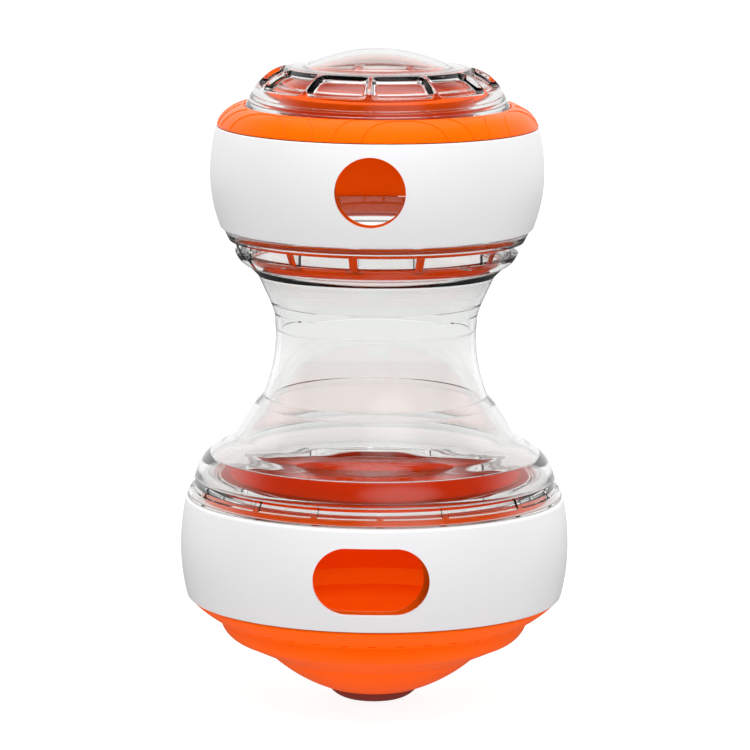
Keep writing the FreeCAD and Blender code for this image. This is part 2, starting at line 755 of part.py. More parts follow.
def make_lower_band():
    body = new_body("lower_band")
    crown = lower_band_foot + S["lower_band_crown"]
    drum = S["lower_drum_radius"]
    reaches = (S["lower_band_foot_reach"], S["lower_band_reach"], S["lower_band_top_reach"])
    radii = [drum + reach for reach in reaches]
    corners = (S["lower_foot_corner"], S["lower_top_corner"])
    revolve(body, band_outline(lower_band_foot, lower_band_top, crown, lower_lip, radii, corners))
    slot = new_sketch(body, "slot_outline")
    draw_stadium(slot, S["slot_width"], S["slot_height"], lower_band_foot + S["slot_middle"])
    cut_through_front(body, slot, "slot")
    turn_body(body, S["lower_band_turn"])
    return body


def make_upper_band():
    body = new_body("upper_band")
    crown = upper_band_foot + S["upper_band_crown"]
    drum = S["upper_drum_radius"]
    reaches = (S["upper_band_foot_reach"], S["upper_band_reach"], S["upper_band_top_reach"])
    radii = [drum + reach for reach in reaches]
    corners = (S["upper_foot_corner"], S["upper_top_corner"])
    revolve(body, band_outline(upper_band_foot, upper_band_top, crown, upper_lip, radii, corners))
    outlet = new_sketch(body, "outlet_outline")
    draw_circle(outlet, 0, upper_band_foot + S["outlet_middle"], S["outlet_radius"])
    cut_through_front(body, outlet, "outlet")
    turn_body(body, S["upper_outlet_turn"])
    return body


# Seals: flat silicone rings
def make_seal(label, bore, radius, foot, top):
    body = new_body(label)
    revolve(body, [(bore, foot), (radius, foot), (radius, top), (bore, top)])
    return body


# Neck: clear hourglass with a flange that screws down over the lower drum
def make_neck():
    body = new_body("neck")
    wall = S["clear_wall"]
    skirt = (skirt_top_radius, skirt_top)
    bend = (flange_bend, flange_bend_top)
    shoulder = (flange_shoulder, flange_shoulder_top)
    cone = (cone_foot_radius, cone_foot)
    step = (ridge_step_radius, ridge_step)
    narrowest = (S["waist_radius"], waist)
    rim = (rim_foot_radius, rim_foot)
    gap = S["fit_gap"]
    socket_foot = neck_top - S["spigot_length"] - S["fit_gap"]
    inner_waist = (spigot_bore, waist)
    inner_step = (ridge_step_radius - wall, ridge_step - wall / 3)
    inner_cone = (cone_foot_radius - wall, cone_foot - wall / 2)
    inner_shoulder = (flange_shoulder - wall * 0.6, flange_shoulder_top - wall * 0.8)
    inner_bend = (flange_bend - wall * 0.77, flange_bend_top - wall * 0.64)
    slant = (skirt_radius - skirt_top_radius) / S["skirt_height"]
    plate_top = neck_land + wall
    plate_radius = skirt_radius - wall * 1.05 - slant * (plate_top - skirt_foot)
    land_radius = skirt_radius - wall - slant * (neck_land - skirt_foot)
    locating = lower_drum_bore - S["locating_ring_gap"]
    locating_bore = locating - wall
    locating_foot = lower_drum_top - S["locating_ring_drop"]
    revolve(body, [
        (skirt_radius - wall, skirt_foot),
        (skirt_radius, skirt_foot),
        (*skirt, bowed(skirt, bend, S["skirt_crown"]), "right"),
        bend,
        (*shoulder, bowed(shoulder, cone, S["cone_foot_bulge"]), "left"),
        cone,
        (ridge_radius, ridge),
        (*step, crowned(step, narrowest), "left"),
        (*narrowest, crowned(narrowest, rim), "left"),
        rim,
        (rim_radius, neck_top),
        (spigot_top_radius + gap, neck_top),
        (spigot_flare_radius + gap, rim_foot),
        (spigot_radius + gap, socket_foot),
        (spigot_bore, socket_foot),
        (*inner_waist, crowned(inner_waist, inner_step), "right"),
        inner_step,
        (ridge_radius - wall, ridge - wall / 2),
        (*inner_cone, bowed(inner_cone, inner_shoulder, S["cone_foot_bulge"]), "right"),
        inner_shoulder,
        inner_bend,
        (plate_radius, plate_top),
        (locating_bore, plate_top),
        (locating_bore, locating_foot),
        (locating, locating_foot),
        (locating, neck_land),
        (land_radius, neck_land),
    ])
    pocket_foot = skirt_foot + S["pocket_lift"]
    pocket_top = pocket_foot + S["pocket_height"]
    foot_floor = skirt_radius - slant * S["pocket_lift"] - S["pocket_depth"]
    top_floor = foot_floor - slant * S["pocket_height"]
    outline = [
        (foot_floor, pocket_foot),
        (skirt_radius + CUT_REACH, pocket_foot),
        (skirt_radius + CUT_REACH, pocket_top),
        (top_floor, pocket_top),
    ]
    rib = S["pocket_rib"] * (180 / math.pi) / skirt_radius
    quadrant = FULL_TURN / NECK_QUADRANTS
    narrow_pitch = (quadrant - S["wide_pocket_pitch"]) / NARROW_POCKETS
    start = S["neck_pocket_turn"] - RIGHT_ANGLE
    pockets = [ring_pocket(body, "wide_pocket", outline, S["wide_pocket_pitch"] - rib, start)]
    for number in range(NARROW_POCKETS):
        turn = start + S["wide_pocket_pitch"] / 2 + narrow_pitch * (number + 0.5)
        pockets.append(ring_pocket(body, "pocket_%d" % (number + 1), outline, narrow_pitch - rib, turn))
    repeat_round(body, pockets, NECK_QUADRANTS, "pockets")
    return body


# Upper funnel: clear cone with a spigot in the neck and a thick flange cored by twelve windows
def make_upper_funnel():
    body = new_body("upper_funnel")
    wall = S["clear_wall"]
    underside = (underside_radius, underside_top)
    corner = (flange_corner_radius, flange_corner_top)
    spigot_foot = neck_top - S["spigot_length"]
    revolve(body, [
        (spigot_bore, spigot_foot),
        (spigot_radius, spigot_foot),
        (spigot_flare_radius, rim_foot),
        (spigot_top_radius, neck_top),
        (rim_radius, neck_top),
        (funnel_cone_radius, funnel_cone_top),
        (*underside, bowed(underside, corner, S["flange_corner_bulge"]), "right"),
        corner,
        (flange_top_radius, flange_top),
        (flange_top_radius - S["flange_rim_width"], flange_top),
        (flange_top_radius - S["flange_rim_width"], groove_floor),
        (flange_collar, groove_floor),
        (flange_collar, flange_top + S["flange_collar_height"]),
        (flange_bore, flange_top + S["flange_collar_height"]),
        (flange_bore, underside_top + wall),
        (funnel_cone_radius - wall, funnel_cone_top + wall / 2),
        (rim_radius - wall, neck_top + wall / 3),
        (spigot_bore + S["rim_foot_width"], rim_foot),
    ])
    window_foot = flange_corner_top + S["window_lift"]
    window_top = window_foot + S["window_height"]
    window_bore = flange_bore + S["window_floor"]
    outline = [
        (window_bore, window_foot),
        (flange_top_radius + CUT_REACH, window_foot),
        (flange_top_radius + CUT_REACH, window_top),
        (window_bore, window_top),
    ]
    rib = S["window_rib"] * (180 / math.pi) / flange_top_radius
    third = FULL_TURN / FUNNEL_THIRDS
    wide = S["wide_window_pitch"]
    narrow = third / 2 - wide
    middle = S["window_turn"] - RIGHT_ANGLE
    windows = []
    for name, pitch, turn in (
        ("wide_window_left", wide, middle - narrow - wide / 2),
        ("window_left", narrow, middle - narrow / 2),
        ("window_right", narrow, middle + narrow / 2),
        ("wide_window_right", wide, middle + narrow + wide / 2),
    ):
        windows.append(ring_pocket(body, name, outline, pitch - rib, turn))
    repeat_round(body, windows, FUNNEL_THIRDS, "windows")
    return body


# Upper drum: wall with the round outlet, shoulder over the upper band, and filling collar
def make_upper_drum():
    body = new_body("upper_drum")
    lip = (shoulder_radius, shoulder_foot)
    crest = (lid_seat_radius, shoulder_top)
    drum = S["upper_drum_radius"]
    core_bore = drum + S["drum_wall"]
    core = core_bore + S["shoulder_core_width"]
    core_top = shoulder_foot + S["shoulder_core_height"]
    plate_foot = lid_seat - S["shoulder_plate"]
    collar = fill_collar
    revolve(body, [
        (upper_drum_bore, upper_drum_foot),
        (drum, upper_drum_foot),
        (drum, shoulder_foot),
        (core_bore, shoulder_foot),
        (core_bore, core_top),
        (core, core_top),
        (core, shoulder_foot),
        (*lip, bowed(lip, crest, S["shoulder_bulge"]), "right"),
        crest,
        (lid_seat_radius, lid_seat),
        (collar, lid_seat),
        (collar, fill_collar_top),
        (fill_bore, fill_collar_top),
        (fill_bore, plate_foot),
        (upper_drum_bore - S["shoulder_plate"], plate_foot),
        (upper_drum_bore, plate_foot - S["shoulder_plate"]),
    ])
    outlet = new_sketch(body, "outlet_outline")
    draw_circle(outlet, 0, upper_band_foot + S["outlet_middle"], S["outlet_radius"])
    cut_through_front(body, outlet, "outlet")
    turn_body(body, S["upper_outlet_turn"])
    return body


def draw_rounded(sketch, corners, radius):
    """A closed outline of straight edges whose corners, given anticlockwise, are rounded."""
    points = [FreeCAD.Vector(across.value, up.value, 0) for across, up in corners]
    count = len(points)
    upright = FreeCAD.Vector(0, 0, 1)
    arcs = []
    tangents = []
    for number, point in enumerate(points):
        back = (points[number - 1] - point).normalize()
        ahead = (points[(number + 1) % count] - point).normalize()
        half = back.getAngle(ahead) / 2
        centre = point + (back + ahead).normalize() * (radius.value / math.sin(half))
        first = point + back * (radius.value / math.tan(half))
        last = point + ahead * (radius.value / math.tan(half))
        start = math.atan2(first.y - centre.y, first.x - centre.x)
        stop = math.atan2(last.y - centre.y, last.x - centre.x)
        circle = Part.Circle(centre, upright, radius.value)
        arcs.append(sketch.addGeometry(Part.ArcOfCircle(circle, start, stop), False))
        tangents.append((first, last))
    lines = []
    for number in range(count):
        edge = Part.LineSegment(tangents[number][1], tangents[(number + 1) % count][0])
        lines.append(sketch.addGeometry(edge, False))
    for number, (across, up) in enumerate(corners):
        sketch.addConstraint(Sketcher.Constraint("Tangent", lines[number - 1], 2, arcs[number], 1))
        sketch.addConstraint(Sketcher.Constraint("Tangent", arcs[number], 2, lines[number], 1))
        corner = sketch.addGeometry(Part.Point(points[number]), True)
        sketch.addConstraint(Sketcher.Constraint("PointOnObject", corner, 1, lines[number - 1]))
        sketch.addConstraint(Sketcher.Constraint("PointOnObject", corner, 1, lines[number]))
        pin_point(sketch, corner, 1, across, up)
        if number == 0:
            bind(sketch, "Radius", (arcs[0],), radius)
        else:
            sketch.addConstraint(Sketcher.Constraint("Equal", arcs[0], arcs[number]))


# Lid: screws over the filling collar; its thick ring is cored by grip pockets, its dome is thin
def make_lid():
    body = new_body("lid")
    wall = S["clear_wall"]
    grip = (lid_grip_radius, lid_grip_top)
    ring = (lid_ring_radius, lid_ring_top)
    dome = (dome_radius, dome_foot)
    apex = (0, dome_top)
    inner_dome = (dome_radius - wall / 3, dome_foot - wall)
    inner_apex = (0, dome_top - wall)
    recess = lid_socket + S["lid_seal_width"] + S["clearance"] * 2
    recess_top = lid_foot + S["lid_recess_height"]
    socket_top = lid_foot + S["lid_socket_height"]
    revolve(body, [
        (recess, lid_foot),
        (S["lid_skirt_radius"], lid_foot),
        (*grip, bowed(grip, ring, S["lid_ring_bulge"]), "right"),
        ring,
        (*dome, domed(dome, apex), "right"),
        apex,
        (*inner_apex, domed(inner_apex, inner_dome), "left"),
        inner_dome,
        (lid_ring_radius, lid_ring_top - wall),
        (lid_socket, socket_top),
        (lid_socket, recess_top),
        (recess, recess_top),
    ])
    slope = S["grip_slope"]
    grip_radius = S["lid_skirt_radius"] - S["grip_inset"]
    sketch = new_sketch(body, "grip_outline")
    stand_off = S["lid_ring_bulge"] + S["clear_wall"]
    out = grip_radius + stand_off * sine(slope)
    up = lid_foot + S["grip_lift"] + stand_off * cosine(slope)
    lean = RIGHT_ANGLE - slope
    tilt = FreeCAD.Rotation(FreeCAD.Vector(-1, 0, 0), lean.value)
    sketch.AttachmentOffset = FreeCAD.Placement(FreeCAD.Vector(0, up.value, out.value), tilt)
    sketch.setExpression("AttachmentOffset.Base.y", up.formula)
    sketch.setExpression("AttachmentOffset.Base.z", out.formula)
    sketch.setExpression("AttachmentOffset.Rotation.Angle", lean.formula)
    half_pitch = FULL_TURN / S["grip_count"] / 2
    fall = S["grip_length"] / 2 * cosine(slope)
    flare = stand_off * tangent(S["grip_draft"])
    half_rib = S["grip_rib"] / 2
    foot_half = (grip_radius + fall) * tangent(half_pitch) - half_rib + flare
    top_half = (grip_radius - fall) * tangent(half_pitch) - half_rib + flare
    half_length = S["grip_length"] / 2 + flare
    corners = [
        (-foot_half, -half_length),
        (foot_half, -half_length),
        (top_half, half_length),
        (-top_half, half_length),
    ]
    draw_rounded(sketch, corners, S["grip_corner"])
    pocket = body.newObject("PartDesign::Pocket", "lid_grip_pocket")
    pocket.Profile = sketch
    depth = stand_off + S["grip_depth"]
    pocket.Length = depth.value
    pocket.setExpression("Length", depth.formula)
    pocket.TaperAngle = -S["grip_draft"].value
    pocket.setExpression("TaperAngle", (-S["grip_draft"]).formula)
    body.Tip = pocket
    repeat_round(body, [pocket], S["grip_count"], "grip_pockets")
    turn_body(body, S["lid_turn"])
    return body


lid_seal_bore = lid_socket + S["clearance"]
pieces = [
    make_foot_pad(),
    make_base_bowl(),
    make_ballast(),
    make_ballast_cover(),
    make_cover_screws(),
    make_lower_band(),
    make_seal("lower_seal", lower_drum_bore, lower_collar - S["clearance"], lower_seal_foot, lower_seal_top),
    make_neck(),
    make_upper_funnel(),
    make_seal("upper_seal", upper_drum_bore, S["upper_drum_radius"], upper_seal_foot, upper_seal_top),
    make_upper_drum(),
    make_upper_band(),
    make_seal("lid_seal", lid_seal_bore, lid_seal_bore + S["lid_seal_width"], lid_foot,
              lid_foot + S["lid_recess_height"] - S["clearance"]),
    make_lid(),
]
doc.recompute()

# Nothing is written unless every object and every piece is sound
for item in doc.Objects:
    if "Invalid" in item.State or "Error" in item.State:
        raise ValueError("%s failed: %s" % (item.Label, item.State))
for piece in pieces:
    if piece.Shape.isNull() or not piece.Shape.isValid():
        raise ValueError("%s has no sound shape" % piece.Label)

os.makedirs("parts", exist_ok=True)
for piece in pieces:
    piece.Shape.exportStep("parts/%s.step" % piece.Label)
    print("%-16s %2d solid, %9.1f mm3" % (piece.Label, len(piece.Shape.Solids), piece.Shape.Volume))
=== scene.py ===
"""Looks of the treat ball: an hourglass treat dispenser with two orange drums, white bands that
turn over their outlets, a clear screwed neck and funnel between them, and a clear domed lid.

Sizes are in millimetres until a point is placed. Angles round the object are counted in degrees
from the front, towards +X."""

import math

import bpy
from mathutils import Matrix, Vector


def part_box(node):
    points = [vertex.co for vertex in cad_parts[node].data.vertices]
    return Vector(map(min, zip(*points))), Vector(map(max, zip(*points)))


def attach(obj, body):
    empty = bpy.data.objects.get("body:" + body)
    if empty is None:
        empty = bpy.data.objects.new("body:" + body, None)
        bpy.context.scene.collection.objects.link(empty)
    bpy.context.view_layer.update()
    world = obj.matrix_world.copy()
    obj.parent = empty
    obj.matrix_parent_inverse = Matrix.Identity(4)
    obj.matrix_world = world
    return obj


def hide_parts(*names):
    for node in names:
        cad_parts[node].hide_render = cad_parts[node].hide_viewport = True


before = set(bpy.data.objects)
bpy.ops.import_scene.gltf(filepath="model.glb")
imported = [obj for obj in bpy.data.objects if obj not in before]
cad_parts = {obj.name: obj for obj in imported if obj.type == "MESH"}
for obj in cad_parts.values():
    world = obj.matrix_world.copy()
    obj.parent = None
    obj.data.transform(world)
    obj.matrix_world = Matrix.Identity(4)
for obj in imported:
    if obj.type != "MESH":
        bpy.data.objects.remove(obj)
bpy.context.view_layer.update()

MM = 0.001
ROUND = 192  # flats in a turned piece
EDGE = 0.25  # rounding of a moulded edge
EDGE_ANGLE = 38  # degrees between two faces from which their edge is rounded
WALL = 2.2
MERGE = 0.004  # points nearer than this are one
ARC_STEP = 1.2  # between the points of an arc
BEND_STEP = 0.5  # and of a rounded corner


def reach(node):
    """Radius, foot and top of a CAD node, in millimetres."""
    low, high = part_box(node)
    return high.x / MM, low.z / MM, high.z / MM


# Outlines: lines of (radius, height) points

def rise_over(chord, off):
    """How far an arc rises over its chord, where its far end lies off its tangent by this much."""
    radius = chord * chord / (2 * off)
    return radius - math.sqrt(radius * radius - chord * chord / 4)


def rise_of_crown(start, stop):
    """The rise of an arc that stands upright at its wider end."""
    return rise_over(math.dist(start, stop), abs(stop[0] - start[0]))


def rise_of_dome(start, stop):
    """The rise of an arc that lies level on the axis."""
    return rise_over(math.dist(start, stop), abs(stop[1] - start[1]))


def arc(start, stop, rise):
    """Points from start to stop, without stop, on an arc that bows to the right of the way, or to
    the left where rise is negative."""
    across = stop[0] - start[0]
    up = stop[1] - start[1]
    length = math.hypot(across, up)
    count = max(3, math.ceil(length / ARC_STEP))
    side = 1 if rise > 0 else -1
    radius = length * length / (8 * abs(rise)) + abs(rise) / 2
    right = (up / length * side, -across / length * side)
    centre = [(start[k] + stop[k]) / 2 - right[k] * (radius - abs(rise)) for k in (0, 1)]
    first = math.atan2(start[1] - centre[1], start[0] - centre[0])
    last = math.atan2(stop[1] - centre[1], stop[0] - centre[0])
    turn = math.remainder(last - first, math.tau)
    angles = [first + turn * number / count for number in range(count)]
    return [(centre[0] + radius * math.cos(angle), centre[1] + radius * math.sin(angle))
            for angle in angles]


def traced(corners, closed):
    """The points of an outline whose corners are (radius, height) or, before an arc,
    (radius, height, rise)."""
    points = []
    for index, corner in enumerate(corners):
        if len(corner) == 3:
            points += arc(corner[:2], corners[(index + 1) % len(corners)][:2], corner[2])
        else:
            points.append(corner)
    if closed:
        points.append(points[0])
    return points


def between(start, stop, share):
    return start[0] + (stop[0] - start[0]) * share, start[1] + (stop[1] - start[1]) * share


def eased(points, corner, distance):
    """Round one corner of a line of points, from this distance before it to this distance after."""
    place = min(range(len(points)), key=lambda n: math.dist(points[n], corner))
    tip = points[place]

    def walk(direction):
        left, at, number = distance, tip, place
        while True:
            ahead = points[number + direction]
            length = math.dist(at, ahead)
            if length >= left:
                return between(at, ahead, left / length), number
            left, at, number = left - length, ahead, number + direction

    start, before = walk(-1)
    stop, after = walk(1)
    count = max(4, math.ceil(distance / BEND_STEP))
    bend = []
    for number in range(count + 1):
        share = number / count
        weights = ((1 - share) ** 2, 2 * share * (1 - share), share ** 2)
        bend.append(tuple(weights[0] * start[k] + weights[1] * tip[k] + weights[2] * stop[k]
                          for k in (0, 1)))
    return points[:before] + bend + points[after + 1:]


def on_profile(profile, distance):
    """The point this far along a line of points."""
    for start, stop in zip(profile, profile[1:]):
        length = math.dist(start, stop)
        if length >= distance or stop == profile[-1]:
            return between(start, stop, distance / length)
        distance -= length


# Making and cutting pieces

def deselect():
    bpy.ops.object.select_all(action="DESELECT")


def choose(piece):
    deselect()
    piece.select_set(True)
    bpy.context.view_layer.objects.active = piece


def select_all_points():
    bpy.ops.mesh.select_all(action="SELECT")


def edited(name):
    """Name the piece that was just added, and edit all of its points."""
    piece = bpy.context.active_object
    piece.name = name
    bpy.ops.object.mode_set(mode="EDIT")
    select_all_points()
    return piece


def faced_outward(piece):
    """Turn the faces of an edited piece outward, and leave edit mode."""
    select_all_points()
    bpy.ops.mesh.normals_make_consistent(inside=False)
    bpy.ops.object.mode_set(mode="OBJECT")
    return piece


def apply(piece, kind, **settings):
    """Put a modifier on a piece and apply it."""
    choose(piece)
    modifier = piece.modifiers.new(kind.lower(), kind)
    for name, value in settings.items():
        setattr(modifier, name, value)
    bpy.ops.object.modifier_apply(modifier=modifier.name)
    return piece


def drawn(name, points):
    """A mesh drawn along a line of points from one point, in edit mode with all of it selected."""
    deselect()
    first = points[0]
    bpy.ops.mesh.primitive_plane_add(size=0.01, location=(first[0] * MM, 0, first[1] * MM))
    bpy.ops.object.transform_apply(location=True, rotation=False, scale=False)
    piece = edited(name)
    bpy.ops.mesh.merge(type="CENTER")
    for start, stop in zip(points, points[1:]):
        stride = ((stop[0] - start[0]) * MM, 0, (stop[1] - start[1]) * MM)
        bpy.ops.mesh.extrude_vertices_move(TRANSFORM_OT_translate={"value": stride})
    select_all_points()
    return piece


def merge_doubles():
    select_all_points()
    bpy.ops.mesh.remove_doubles(threshold=MERGE * MM)


def spun(steps, angle):
    bpy.ops.mesh.spin(steps=steps, angle=angle, center=(0, 0, 0), axis=(0, 0, 1))
    merge_doubles()


def turned(name, corners, closed=True, soft=()):
    """A piece turned on the object's axis: its outline is drawn and spun. The soft corners are
    rounded by the distance given with each."""
    points = traced(corners, closed)
    for corner, distance in soft:
        points = eased(points, corner, distance)
    piece = drawn(name, points)
    spun(ROUND, math.tau)
    faced_outward(piece)
    return apply(piece, "BEVEL", width=EDGE * MM, segments=2, limit_method="ANGLE",
                 angle_limit=math.radians(EDGE_ANGLE), use_clamp_overlap=True)


def joined(name, pieces):
    deselect()
    for piece in pieces:
        piece.select_set(True)
    bpy.context.view_layer.objects.active = pieces[0]
    bpy.ops.object.join()
    pieces[0].name = name
    return pieces[0]


def cut(piece, cutter, operation="DIFFERENCE"):
    apply(piece, "BOOLEAN", object=cutter, operation=operation, solver="EXACT")
    bpy.data.objects.remove(cutter)
    return piece


def smooth(piece, angle=32):
    """Smooth shading up to this angle, with normals that follow the large faces, so that a wall
    stays as flat or parallel as it is modelled."""
    choose(piece)
    bpy.ops.object.shade_smooth_by_angle(angle=math.radians(angle))
    return apply(piece, "WEIGHTED_NORMAL", mode="FACE_AREA", weight=100, keep_sharp=True)


def turn_by(piece, degrees):
    """Turn a finished piece about the object's axis, towards +X at the front, into its mesh."""
    choose(piece)
    piece.rotation_euler.z = math.radians(degrees)
    bpy.ops.object.transform_apply(location=True, rotation=True, scale=True)
    return piece


def around(piece, degrees):
    """Copies of a piece with their own meshes at each turn given; the piece itself is used up."""
    copies = []
    for turn in degrees:
        choose(piece)
        bpy.ops.object.duplicate(linked=False)
        copies.append(turn_by(bpy.context.active_object, turn))
    bpy.data.objects.remove(piece)
    return joined(copies[0].name, copies)


def ring_cutter(name, corners, width):
    """A stretch of ring, as many degrees wide as given, centred on the front."""
    cutter = drawn(name, traced(corners, closed=True))
    merge_doubles()
    select_all_points()
    bpy.ops.mesh.edge_face_add()
    spun(max(4, round(width / 1.5)), math.radians(width))
    faced_outward(cutter)
    x, y = (sum(vertex.co[k] for vertex in cutter.data.vertices) for k in (0, 1))
    return turn_by(cutter, -90 - math.degrees(math.atan2(y, x)))


BAR_START = 30  # from the axis
BAR_LENGTH = 60


def through_front(name, width, height, middle):
    """A bar with round ends that runs through the front wall."""
    deselect()
    bpy.ops.mesh.primitive_cylinder_add(
        vertices=96, radius=height / 2 * MM, depth=BAR_LENGTH * MM,
        location=(0, -(BAR_LENGTH / 2 + BAR_START) * MM, middle * MM), rotation=(math.pi / 2, 0, 0))
    bpy.ops.object.transform_apply(location=True, rotation=True, scale=True)
    bar = edited(name)
    if width > height:
        bpy.ops.mesh.bisect(plane_co=(0, 0, 0), plane_no=(1, 0, 0), use_fill=False)
    bpy.ops.object.mode_set(mode="OBJECT")
    if width > height:
        for vertex in bar.data.vertices:
            if abs(vertex.co.x) > 1e-6:
                vertex.co.x += math.copysign((width - height) / 2 * MM, vertex.co.x)
    return bar


SLOPE_REACH = 1.5  # how far before and after a spot its slope is taken


def wrapped(piece, profile, middle):
    """Bend a flat piece in millimetres over a turned profile: x goes round, y along the profile
    from its middle, and z out of it."""
    radius = on_profile(profile, middle)[0]
    for vertex in piece.data.vertices:
        across, along, out = vertex.co
        spot = middle + along
        low = on_profile(profile, spot - SLOPE_REACH)
        high = on_profile(profile, spot + SLOPE_REACH)
        here = on_profile(profile, spot)
        length = math.dist(low, high)
        normal = ((high[1] - low[1]) / length, -(high[0] - low[0]) / length)
        off_axis = here[0] + normal[0] * out
        angle = across / radius
        vertex.co = (off_axis * math.sin(angle) * MM, -off_axis * math.cos(angle) * MM,
                     (here[1] + normal[1] * out) * MM)
    return piece


# Materials

def linear(colour):
    """An sRGB hex colour as linear light."""
    values = [int(colour[place:place + 2], 16) / 255 for place in (1, 3, 5)]
    return (*(v / 12.92 if v <= 0.04045 else ((v + 0.055) / 1.055) ** 2.4 for v in values), 1)


def node(tree, kind, settings=(), links=()):
    """Add a node with its settings and links. A setting names an attribute, or an input socket."""
    made = tree.nodes.new("ShaderNode" + kind)
    for name, value in dict(settings).items():
        if hasattr(made, name) and name not in made.inputs:
            setattr(made, name, value)
        else:
            made.inputs[name].default_value = value
    for name, source in dict(links).items():
        tree.links.new(source, made.inputs[name])
    return made


def material(name, **settings):
    """A principled material with these inputs, its nodes, its shader and its output node."""
    made = bpy.data.materials.new(name)
    made.use_nodes = True
    tree = made.node_tree
    tree.nodes.clear()
    inputs = {key.replace("_", " "): value for key, value in settings.items()}
    shader = node(tree, "BsdfPrincipled", inputs)
    output = node(tree, "OutputMaterial", links={"Surface": shader.outputs[0]})
    made.diffuse_color = settings.get("Base_Color", (0.8, 0.8, 0.8, 1))
    return made, tree, shader, output


def noise(tree, size, detail):
    """An even noise in the piece's own space, whose patches are this many millimetres across."""
    place = node(tree, "TexCoord").outputs["Object"]
    return node(tree, "TexNoise", {"Scale": 1 / (size * MM), "Detail": detail},
                {"Vector": place}).outputs[0]


def roughen(tree, shader, height, strength, depth):
    bumps = node(tree, "Bump", {"Strength": strength, "Distance": depth * MM}, {"Height": height})
    tree.links.new(bumps.outputs[0], shader.inputs["Normal"])


DRIFT = 25  # size of the patches in which a moulding's colour drifts


def moulded(name, colour, deep, roughness, ior, grain, bump, shine=0.5, tint="#FFFFFF"):
    """Glossy injection-moulded plastic: an even colour that drifts a little over a few centimetres,
    and a faint grain from the polished mould that softens its reflections."""
    made, tree, shader, _ = material(name, Roughness=roughness, IOR=ior)
    blend = node(tree, "Mix", {"data_type": "RGBA"}, {"Factor": noise(tree, DRIFT, 2.0)})
    for place, shade in ((6, colour), (7, deep)):
        blend.inputs[place].default_value = linear(shade)
    tree.links.new(blend.outputs[2], shader.inputs["Base Color"])
    fine = noise(tree, grain, 3.0)
    gloss = node(tree, "MapRange", {"To Min": roughness - 0.03, "To Max": roughness + 0.05},
                 {"Value": fine})
    tree.links.new(gloss.outputs[0], shader.inputs["Roughness"])
    roughen(tree, shader, fine, bump, 0.02)
    shader.inputs["Specular IOR Level"].default_value = shine
    shader.inputs["Specular Tint"].default_value = linear(tint)
    made.diffuse_color = linear(colour)
    return made


def clear_moulded(name, colour, roughness, shadow):
    """Clear moulded copolymer, polished: bright where it is thin, dark where light has to run along
    a thick edge. Lamps shine through it."""
    made, tree, shader, output = material(
        name, Base_Color=linear(colour), Roughness=roughness, IOR=1.57)
    shader.inputs["Transmission Weight"].default_value = 1.0
    path = node(tree, "LightPath")
    through = node(tree, "BsdfTransparent", {"Color": linear(shadow)})
    mix = node(tree, "MixShader")
    sources = (path.outputs["Is Shadow Ray"], shader.outputs[0], through.outputs[0])
    for place, source in enumerate(sources):
        tree.links.new(source, mix.inputs[place])
    tree.links.new(mix.outputs[0], output.inputs["Surface"])
    roughen(tree, shader, noise(tree, 9, 1.0), 0.25, 0.03)
    return made


def bonded(name):
    """The solvent-welded faces between neck and funnel: light crosses them without bending."""
    made = bpy.data.materials.new(name)
    made.use_nodes = True
    made.node_tree.nodes.clear()
    through = node(made.node_tree, "BsdfTransparent", {"Color": (1, 1, 1, 1)})
    node(made.node_tree, "OutputMaterial", links={"Surface": through.outputs[0]})
    return made


ORANGE_ABS = moulded("moulded_orange_abs", "#FF6104", "#FC5A03", roughness=0.28, ior=1.54,
                     grain=0.25, bump=0.03, shine=0.1, tint="#FF8A3A")
WHITE_ABS = moulded("moulded_white_abs", "#DEDDDE", "#DBDADC", roughness=0.34, ior=1.54,
                    grain=0.5, bump=0.15)
# The foot button is coloured dark red, darker and less orange than the bowl over it.
FOOT_DARK_RED = moulded("moulded_dark_red_foot", "#8A2410", "#7A1D0C", roughness=0.48, ior=1.52,
                      grain=0.8, bump=0.3)
SILICONE = moulded("moulded_orange_silicone", "#E8480C", "#E0430A", roughness=0.5, ior=1.41,
                   grain=0.8, bump=0.2)
CLEAR = clear_moulded("clear_moulded_copolymer", "#EBECEB", roughness=0.02, shadow="#F8F7F6")
WELD = bonded("solvent_welded_joint")
STEEL = material(
    "turned_zinc_plated_steel", Base_Color=linear("#B9BBBD"), Metallic=1.0, Roughness=0.38)[0]


def finish_with(piece, made):
    piece.data.materials.clear()
    piece.data.materials.append(made)
    return piece


WELD_REACH = 0.06  # how far off the lap a face's middle may lie
WELD_END = 0.02  # share of a stretch of the lap by which it may lie past its end


def weld_faces(piece, lap):
    """Give the welded faces of a lap joint, a line of (radius, height) points, their own finish."""
    piece.data.materials.append(WELD)
    place = len(piece.data.materials) - 1
    for face in piece.data.polygons:
        spot = (math.hypot(face.center.x, face.center.y) / MM, face.center.z / MM)
        for start, stop in zip(lap, lap[1:]):
            along = (stop[0] - start[0], stop[1] - start[1])
            away = (spot[0] - start[0], spot[1] - start[1])
            length = math.hypot(*along)
            share = (away[0] * along[0] + away[1] * along[1]) / length**2
            off = abs(away[0] * along[1] - away[1] * along[0]) / length
            if -WELD_END < share < 1 + WELD_END and off < WELD_REACH:
                face.material_index = place


# Foot pad: a button under the nose, coloured dark red, darker than the orange bowl over it
FOOT_RADIUS, _, FOOT_HIGH = reach("foot_pad")
FOOT_TOP = 4.45
FOOT_PLUG = 9
foot_pad = turned("foot_button", [
    (0, 0),
    (10.5, 0, 0.8),
    (FOOT_RADIUS, FOOT_TOP),
    (FOOT_PLUG, FOOT_TOP),
    (FOOT_PLUG, FOOT_HIGH),
    (0, FOOT_HIGH)], closed=False)
finish_with(smooth(foot_pad), FOOT_DARK_RED)
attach(foot_pad, "base")
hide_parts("foot_pad")


